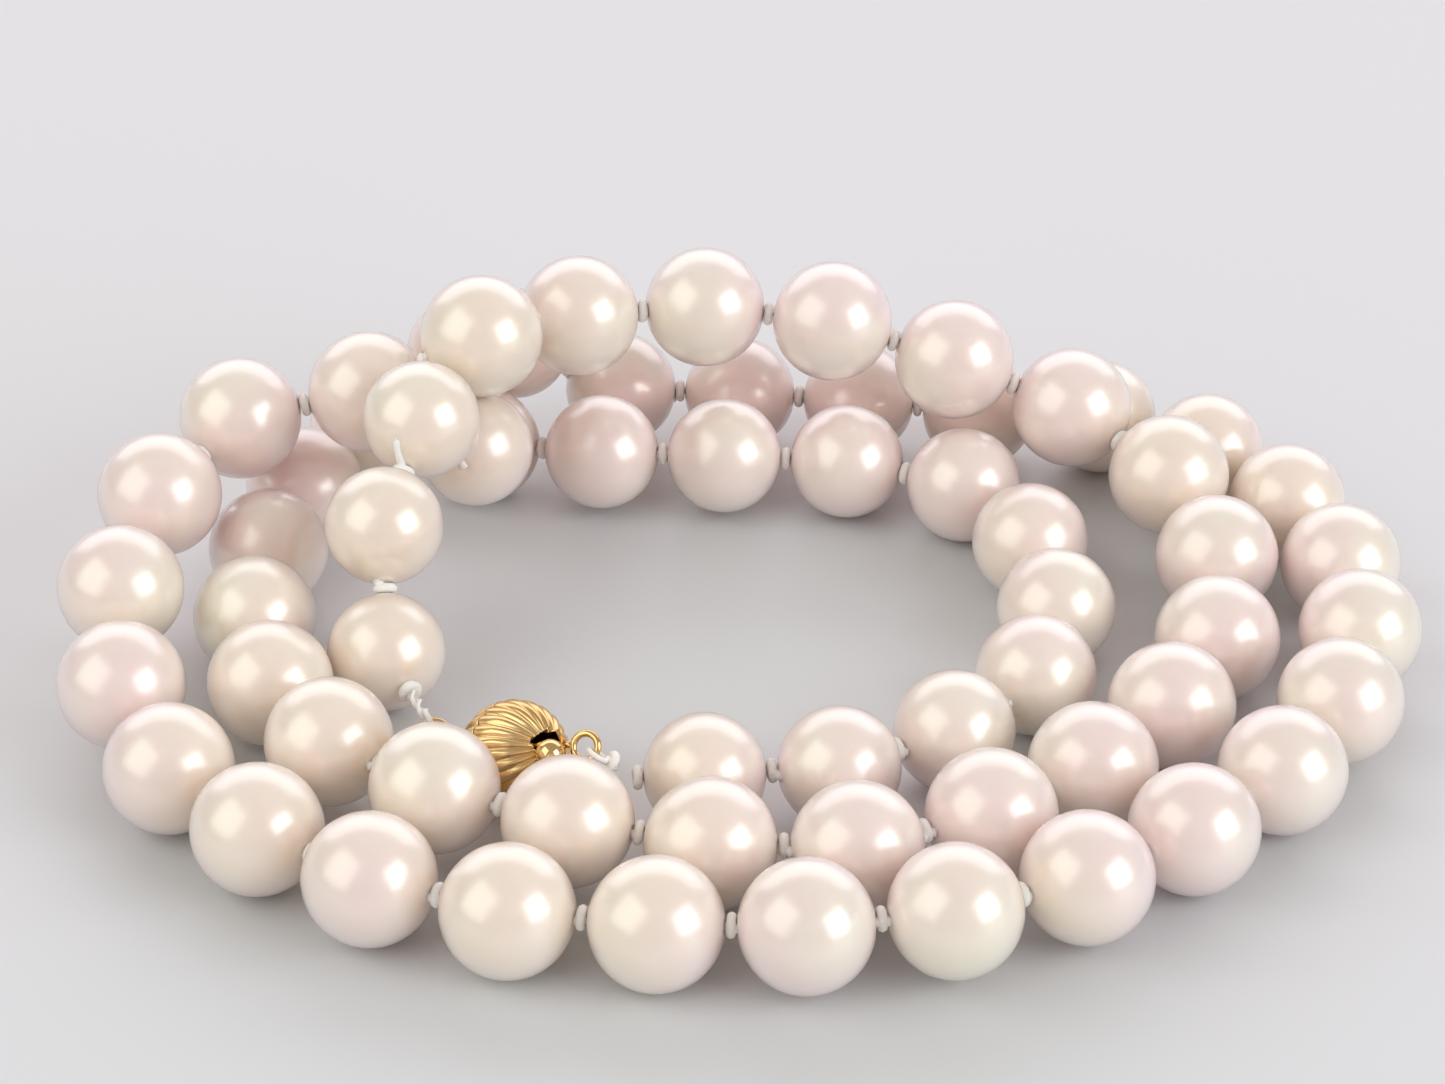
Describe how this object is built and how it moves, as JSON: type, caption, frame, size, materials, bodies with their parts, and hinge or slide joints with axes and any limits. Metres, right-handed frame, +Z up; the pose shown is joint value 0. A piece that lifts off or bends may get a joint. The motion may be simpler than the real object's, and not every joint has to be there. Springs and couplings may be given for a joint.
{
  "type": "pearl necklace",
  "caption": "Knotted single-strand necklace of round cream pearls lying in a loose coil, closed by a fluted gold ball clasp with a spring tongue.",
  "frame": {"origin": "centre of the coil's footprint on the surface it lies on", "axes": "+Z up from the surface, +X along the coil's longer side, +Y towards the side where the strand is lifted over itself"},
  "size_m": [0.0806, 0.066, 0.019],
  "materials": {
    "pearl_nacre": "high pearly lustre, cream-white with rose and green overtones",
    "silk": "twisted white silk thread",
    "clasp_gold": "polished yellow gold"
  },
  "bodies": {
    "strand": {"knotted_silk": "silk", "lower_run_pearls": "pearl_nacre", "clasp_ball_front": "clasp_gold", "clasp_ball_back": "clasp_gold", "clasp_back_eye": "clasp_gold", "clasp_catch_plate": "clasp_gold"},
    "clasp_tongue": {"clasp_tongue": "clasp_gold", "clasp_tongue_eye": "clasp_gold", "silk_end_loop": "silk"},
    "clasp_leaf": {"clasp_spring_leaf": "clasp_gold", "clasp_thumb_bead": "clasp_gold"},
    "pearl_01_body": {"pearl_01": "pearl_nacre"},
    "pearl_02_body": {"pearl_02": "pearl_nacre"},
    "pearl_03_body": {"pearl_03": "pearl_nacre"},
    "pearl_04_body": {"pearl_04": "pearl_nacre"},
    "pearl_05_body": {"pearl_05": "pearl_nacre"},
    "pearl_06_body": {"pearl_06": "pearl_nacre"},
    "pearl_07_body": {"pearl_07": "pearl_nacre"},
    "pearl_15_body": {"pearl_15": "pearl_nacre"},
    "pearl_16_body": {"pearl_16": "pearl_nacre"},
    "pearl_17_body": {"pearl_17": "pearl_nacre"},
    "pearl_18_body": {"pearl_18": "pearl_nacre"},
    "pearl_19_body": {"pearl_19": "pearl_nacre"},
    "pearl_20_body": {"pearl_20": "pearl_nacre"},
    "pearl_21_body": {"pearl_21": "pearl_nacre"},
    "pearl_22_body": {"pearl_22": "pearl_nacre"},
    "pearl_23_body": {"pearl_23": "pearl_nacre"},
    "pearl_24_body": {"pearl_24": "pearl_nacre"},
    "pearl_25_body": {"pearl_25": "pearl_nacre"},
    "pearl_26_body": {"pearl_26": "pearl_nacre"},
    "pearl_27_body": {"pearl_27": "pearl_nacre"},
    "pearl_28_body": {"pearl_28": "pearl_nacre"},
    "pearl_29_body": {"pearl_29": "pearl_nacre"},
    "pearl_30_body": {"pearl_30": "pearl_nacre"},
    "pearl_31_body": {"pearl_31": "pearl_nacre"},
    "pearl_32_body": {"pearl_32": "pearl_nacre"},
    "pearl_33_body": {"pearl_33": "pearl_nacre"},
    "pearl_34_body": {"pearl_34": "pearl_nacre"},
    "pearl_35_body": {"pearl_35": "pearl_nacre"},
    "pearl_36_body": {"pearl_36": "pearl_nacre"},
    "pearl_37_body": {"pearl_37": "pearl_nacre"},
    "pearl_38_body": {"pearl_38": "pearl_nacre"},
    "pearl_39_body": {"pearl_39": "pearl_nacre"},
    "pearl_40_body": {"pearl_40": "pearl_nacre"},
    "pearl_41_body": {"pearl_41": "pearl_nacre"},
    "pearl_42_body": {"pearl_42": "pearl_nacre"},
    "pearl_43_body": {"pearl_43": "pearl_nacre"},
    "pearl_44_body": {"pearl_44": "pearl_nacre"},
    "pearl_45_body": {"pearl_45": "pearl_nacre"},
    "pearl_46_body": {"pearl_46": "pearl_nacre"},
    "pearl_47_body": {"pearl_47": "pearl_nacre"},
    "pearl_48_body": {"pearl_48": "pearl_nacre"},
    "pearl_49_body": {"pearl_49": "pearl_nacre"},
    "pearl_50_body": {"pearl_50": "pearl_nacre"},
    "pearl_51_body": {"pearl_51": "pearl_nacre"},
    "pearl_52_body": {"pearl_52": "pearl_nacre"},
    "pearl_53_body": {"pearl_53": "pearl_nacre"},
    "pearl_62_body": {"pearl_62": "pearl_nacre"},
    "pearl_63_body": {"pearl_63": "pearl_nacre"},
    "pearl_64_body": {"pearl_64": "pearl_nacre"}
  },
  "joints": [
    {"name": "clasp_tongue_slide", "type": "slide", "parent": "strand", "child": "clasp_tongue", "axis": [0.6598, -0.5548, 0.5068], "range_m": [0, 0.0065]},
    {"name": "clasp_leaf_press", "type": "hinge", "parent": "clasp_tongue", "child": "clasp_leaf", "pos_m": [-0.01388, -0.01066, 0.00234], "axis": [-0.3879, 0.3262, 0.862], "range_deg": [0, 2.2], "stiffness_Nm_per_rad": 0.02},
    {"name": "pearl_01_spin", "type": "hinge", "parent": "strand", "child": "pearl_01_body", "pos_m": [-0.00208, -0.01404, 0.0035], "axis": [0.9975, 0.0692, 0.013], "continuous": true},
    {"name": "pearl_02_spin", "type": "hinge", "parent": "strand", "child": "pearl_02_body", "pos_m": [0.00551, -0.01351, 0.0036], "axis": [0.9576, 0.2881, 0.0027], "continuous": true},
    {"name": "pearl_03_spin", "type": "hinge", "parent": "strand", "child": "pearl_03_body", "pos_m": [0.01216, -0.00976, 0.00354], "axis": [0.7751, 0.6318, 0], "continuous": true},
    {"name": "pearl_04_spin", "type": "hinge", "parent": "strand", "child": "pearl_04_body", "pos_m": [0.01721, -0.00398, 0.0036], "axis": [0.4537, 0.8912, 0.0019], "continuous": true},
    {"name": "pearl_05_spin", "type": "hinge", "parent": "strand", "child": "pearl_05_body", "pos_m": [0.01893, 0.00353, 0.00357], "axis": [0.0432, 0.9991, -0.0008], "continuous": true},
    {"name": "pearl_06_spin", "type": "hinge", "parent": "strand", "child": "pearl_06_body", "pos_m": [0.01786, 0.01119, 0.00359], "axis": [-0.3149, 0.9491, 0.0017], "continuous": true},
    {"name": "pearl_07_spin", "type": "hinge", "parent": "strand", "child": "pearl_07_body", "pos_m": [0.01413, 0.01799, 0.00359], "axis": [-0.7579, 0.6522, 0.0127], "continuous": true},
    {"name": "pearl_15_spin", "type": "hinge", "parent": "strand", "child": "pearl_15_body", "pos_m": [-0.02898, 0.0022, 0.00373], "axis": [0.1018, -0.9945, 0.023], "continuous": true},
    {"name": "pearl_16_spin", "type": "hinge", "parent": "strand", "child": "pearl_16_body", "pos_m": [-0.02729, -0.00554, 0.00407], "axis": [0.3627, -0.9304, 0.054], "continuous": true},
    {"name": "pearl_17_spin", "type": "hinge", "parent": "strand", "child": "pearl_17_body", "pos_m": [-0.02329, -0.0124, 0.00458], "axis": [0.6562, -0.7531, 0.0473], "continuous": true},
    {"name": "pearl_18_spin", "type": "hinge", "parent": "strand", "child": "pearl_18_body", "pos_m": [-0.01702, -0.01733, 0.00481], "axis": [0.87, -0.493, -0.002], "continuous": true},
    {"name": "pearl_19_spin", "type": "hinge", "parent": "strand", "child": "pearl_19_body", "pos_m": [-0.00957, -0.02017, 0.00454], "axis": [0.9622, -0.2683, -0.046], "continuous": true},
    {"name": "pearl_20_spin", "type": "hinge", "parent": "strand", "child": "pearl_20_body", "pos_m": [-0.00171, -0.0216, 0.00407], "axis": [0.993, -0.1156, -0.026], "continuous": true},
    {"name": "pearl_21_spin", "type": "hinge", "parent": "strand", "child": "pearl_21_body", "pos_m": [0.00628, -0.02202, 0.00413], "axis": [0.9868, 0.1613, 0.0107], "continuous": true},
    {"name": "pearl_22_spin", "type": "hinge", "parent": "strand", "child": "pearl_22_body", "pos_m": [0.01374, -0.01907, 0.00424], "axis": [0.8528, 0.5219, -0.021], "continuous": true},
    {"name": "pearl_23_spin", "type": "hinge", "parent": "strand", "child": "pearl_23_body", "pos_m": [0.01976, -0.01377, 0.0038], "axis": [0.6896, 0.7236, -0.0281], "continuous": true},
    {"name": "pearl_24_spin", "type": "hinge", "parent": "strand", "child": "pearl_24_body", "pos_m": [0.02478, -0.00749, 0.00379], "axis": [0.5268, 0.85, -0.0039], "continuous": true},
    {"name": "pearl_25_spin", "type": "hinge", "parent": "strand", "child": "pearl_25_body", "pos_m": [0.02818, -0.00019, 0.00374], "axis": [0.262, 0.9638, 0.0483], "continuous": true},
    {"name": "pearl_26_spin", "type": "hinge", "parent": "strand", "child": "pearl_26_body", "pos_m": [0.02893, 0.00778, 0.00456], "axis": [-0.095, 0.9866, 0.1329], "continuous": true},
    {"name": "pearl_27_spin", "type": "hinge", "parent": "strand", "child": "pearl_27_body", "pos_m": [0.02667, 0.01542, 0.00584], "axis": [-0.5116, 0.8367, 0.1954], "continuous": true},
    {"name": "pearl_28_spin", "type": "hinge", "parent": "strand", "child": "pearl_28_body", "pos_m": [0.02095, 0.02083, 0.0076], "axis": [-0.8585, 0.4084, 0.3102], "continuous": true},
    {"name": "pearl_29_spin", "type": "hinge", "parent": "strand", "child": "pearl_29_body", "pos_m": [0.01351, 0.02168, 0.0106], "axis": [-0.9383, 0.0927, 0.3333], "continuous": true},
    {"name": "pearl_30_spin", "type": "hinge", "parent": "strand", "child": "pearl_30_body", "pos_m": [0.00582, 0.02232, 0.01298], "axis": [-0.9788, 0.1055, 0.1757], "continuous": true},
    {"name": "pearl_31_spin", "type": "hinge", "parent": "strand", "child": "pearl_31_body", "pos_m": [-0.00218, 0.02337, 0.01341], "axis": [-0.9977, -0.0462, 0.0488], "continuous": true},
    {"name": "pearl_32_spin", "type": "hinge", "parent": "strand", "child": "pearl_32_body", "pos_m": [-0.01005, 0.02159, 0.01376], "axis": [-0.8761, -0.4675, 0.1181], "continuous": true},
    {"name": "pearl_33_spin", "type": "hinge", "parent": "strand", "child": "pearl_33_body", "pos_m": [-0.0158, 0.0161, 0.01525], "axis": [-0.9074, -0.3829, -0.173], "continuous": true},
    {"name": "pearl_34_spin", "type": "hinge", "parent": "strand", "child": "pearl_34_body", "pos_m": [-0.02286, 0.01618, 0.01132], "axis": [-0.942, -0.0533, -0.3314], "continuous": true},
    {"name": "pearl_35_spin", "type": "hinge", "parent": "strand", "child": "pearl_35_body", "pos_m": [-0.03077, 0.01526, 0.00998], "axis": [-0.8324, -0.5181, -0.1968], "continuous": true},
    {"name": "pearl_36_spin", "type": "hinge", "parent": "strand", "child": "pearl_36_body", "pos_m": [-0.03506, 0.00859, 0.00843], "axis": [-0.367, -0.9049, -0.2155], "continuous": true},
    {"name": "pearl_37_spin", "type": "hinge", "parent": "strand", "child": "pearl_37_body", "pos_m": [-0.03659, 0.00089, 0.00656], "axis": [-0.0395, -0.9737, -0.2245], "continuous": true},
    {"name": "pearl_38_spin", "type": "hinge", "parent": "strand", "child": "pearl_38_body", "pos_m": [-0.03569, -0.00694, 0.00485], "axis": [0.2793, -0.9459, -0.1652], "continuous": true},
    {"name": "pearl_39_spin", "type": "hinge", "parent": "strand", "child": "pearl_39_body", "pos_m": [-0.03216, -0.01413, 0.00394], "axis": [0.5692, -0.82, -0.0599], "continuous": true},
    {"name": "pearl_40_spin", "type": "hinge", "parent": "strand", "child": "pearl_40_body", "pos_m": [-0.02663, -0.01999, 0.0039], "axis": [0.7519, -0.6593, 0.0003], "continuous": true},
    {"name": "pearl_41_spin", "type": "hinge", "parent": "strand", "child": "pearl_41_body", "pos_m": [-0.0201, -0.0247, 0.00394], "axis": [0.8835, -0.4684, -0.0045], "continuous": true},
    {"name": "pearl_42_spin", "type": "hinge", "parent": "strand", "child": "pearl_42_body", "pos_m": [-0.01255, -0.02745, 0.00383], "axis": [0.9702, -0.2422, -0.0095], "continuous": true},
    {"name": "pearl_43_spin", "type": "hinge", "parent": "strand", "child": "pearl_43_body", "pos_m": [-0.0046, -0.02857, 0.00379], "axis": [0.9933, -0.1136, 0.0217], "continuous": true},
    {"name": "pearl_44_spin", "type": "hinge", "parent": "strand", "child": "pearl_44_body", "pos_m": [0.00338, -0.02928, 0.00418], "axis": [0.999, 0.0212, 0.0387], "continuous": true},
    {"name": "pearl_45_spin", "type": "hinge", "parent": "strand", "child": "pearl_45_body", "pos_m": [0.01132, -0.02823, 0.0044], "axis": [0.9604, 0.2787, -0.0016], "continuous": true},
    {"name": "pearl_46_spin", "type": "hinge", "parent": "strand", "child": "pearl_46_body", "pos_m": [0.01857, -0.02487, 0.00415], "axis": [0.852, 0.5224, -0.0347], "continuous": true},
    {"name": "pearl_47_spin", "type": "hinge", "parent": "strand", "child": "pearl_47_body", "pos_m": [0.02484, -0.01994, 0.00385], "axis": [0.742, 0.6702, -0.0182], "continuous": true},
    {"name": "pearl_48_spin", "type": "hinge", "parent": "strand", "child": "pearl_48_body", "pos_m": [0.03038, -0.0142, 0.00386], "axis": [0.6106, 0.7918, 0.0143], "continuous": true},
    {"name": "pearl_49_spin", "type": "hinge", "parent": "strand", "child": "pearl_49_body", "pos_m": [0.03451, -0.00741, 0.00408], "axis": [0.3992, 0.9168, 0.0111], "continuous": true},
    {"name": "pearl_50_spin", "type": "hinge", "parent": "strand", "child": "pearl_50_body", "pos_m": [0.03666, 0.00023, 0.00403], "axis": [0.1313, 0.9912, -0.0155], "continuous": true},
    {"name": "pearl_51_spin", "type": "hinge", "parent": "strand", "child": "pearl_51_body", "pos_m": [0.03657, 0.00815, 0.00384], "axis": [-0.1566, 0.9874, -0.0207], "continuous": true},
    {"name": "pearl_52_spin", "type": "hinge", "parent": "strand", "child": "pearl_52_body", "pos_m": [0.03421, 0.01569, 0.00371], "axis": [-0.429, 0.9032, -0.0119], "continuous": true},
    {"name": "pearl_53_spin", "type": "hinge", "parent": "strand", "child": "pearl_53_body", "pos_m": [0.02986, 0.02227, 0.00365], "axis": [-0.701, 0.7132, -0.0046], "continuous": true},
    {"name": "pearl_62_spin", "type": "hinge", "parent": "strand", "child": "pearl_62_body", "pos_m": [-0.01916, 0.00995, 0.01286], "axis": [-0.3767, -0.9199, 0.1085], "continuous": true},
    {"name": "pearl_63_spin", "type": "hinge", "parent": "strand", "child": "pearl_63_body", "pos_m": [-0.0211, 0.00348, 0.00928], "axis": [-0.1122, -0.7832, -0.6116], "continuous": true},
    {"name": "pearl_64_spin", "type": "hinge", "parent": "strand", "child": "pearl_64_body", "pos_m": [-0.02084, -0.00172, 0.00375], "axis": [0.4216, -0.8945, -0.1486], "continuous": true}
  ]
}
